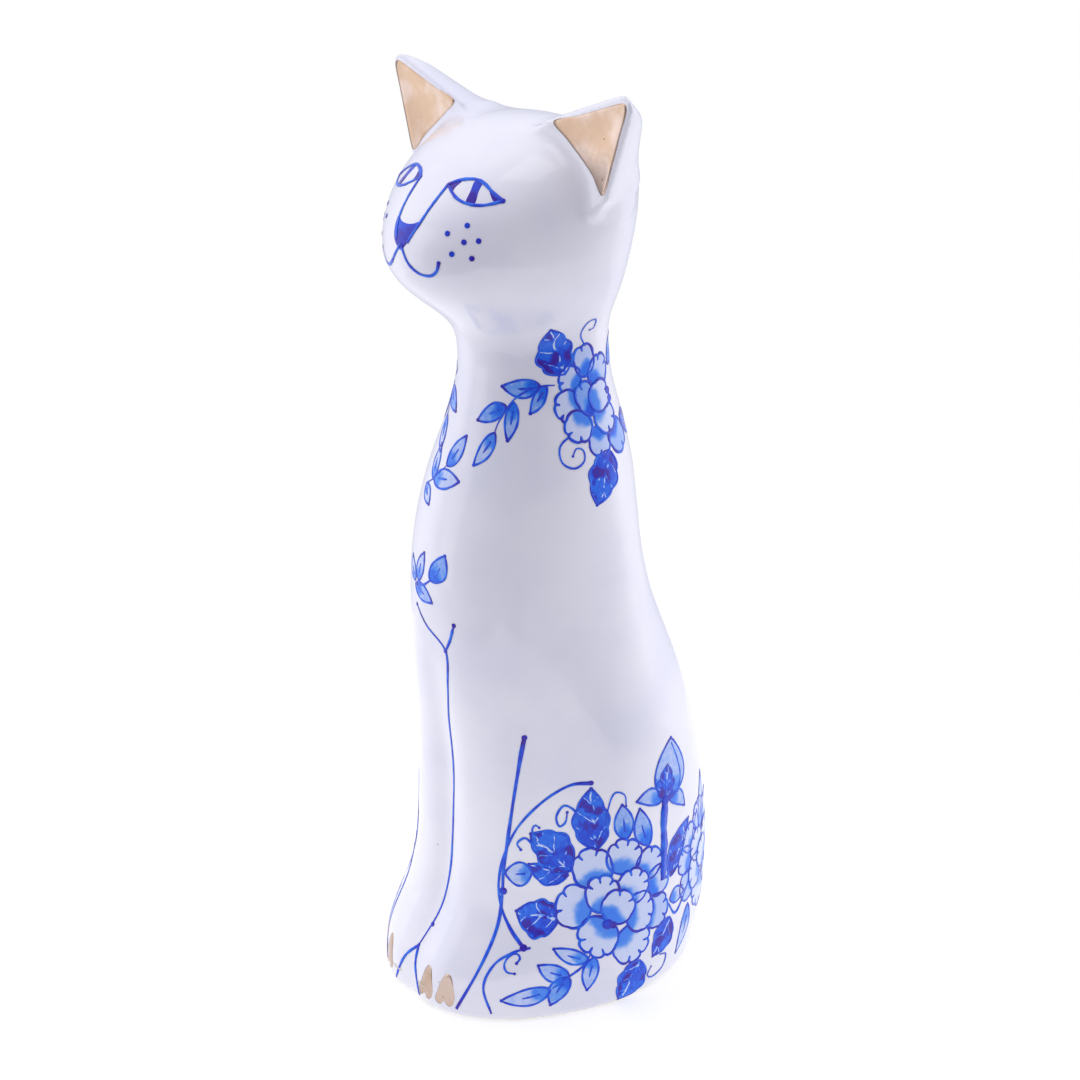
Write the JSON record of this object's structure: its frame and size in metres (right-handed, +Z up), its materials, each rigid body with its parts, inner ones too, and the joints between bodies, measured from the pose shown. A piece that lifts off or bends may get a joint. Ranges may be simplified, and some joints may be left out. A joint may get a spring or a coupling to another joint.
{
  "type": "cat figurine",
  "caption": "Tall sitting cat in hollow glazed porcelain, with luted head, ears and tail, a closed vented foot, and fired-on gold and cobalt decoration",
  "frame": {"origin": "middle of the footprint, on the face that rests on the shelf, in the cat's plane of symmetry", "axes": "+Z up along the body, -Y the way the cat faces, +X the cat's left"},
  "size_m": [0.107, 0.1232, 0.2995],
  "materials": {
    "glazed_porcelain": "high gloss",
    "biscuit_porcelain": "matte",
    "gold_lustre": "polished",
    "cobalt_enamel": "gloss"
  },
  "bodies": {
    "root": {"torso_casting": "glazed_porcelain", "head_casting": "glazed_porcelain", "closing_floor": "biscuit_porcelain", "left_ear": "glazed_porcelain", "right_ear": "glazed_porcelain", "tail": "glazed_porcelain", "left_ear_gilding": "gold_lustre", "right_ear_gilding": "gold_lustre", "left_claw_gilding": "gold_lustre", "right_claw_gilding": "gold_lustre", "face_enamel": "cobalt_enamel", "foreleg_enamel": "cobalt_enamel", "chest_enamel": "cobalt_enamel", "left_haunch_enamel": "cobalt_enamel", "right_haunch_enamel": "cobalt_enamel", "left_leg_line_enamel": "cobalt_enamel", "right_leg_line_enamel": "cobalt_enamel", "left_neck_enamel": "cobalt_enamel", "right_neck_enamel": "cobalt_enamel"}
  },
  "joints": []
}
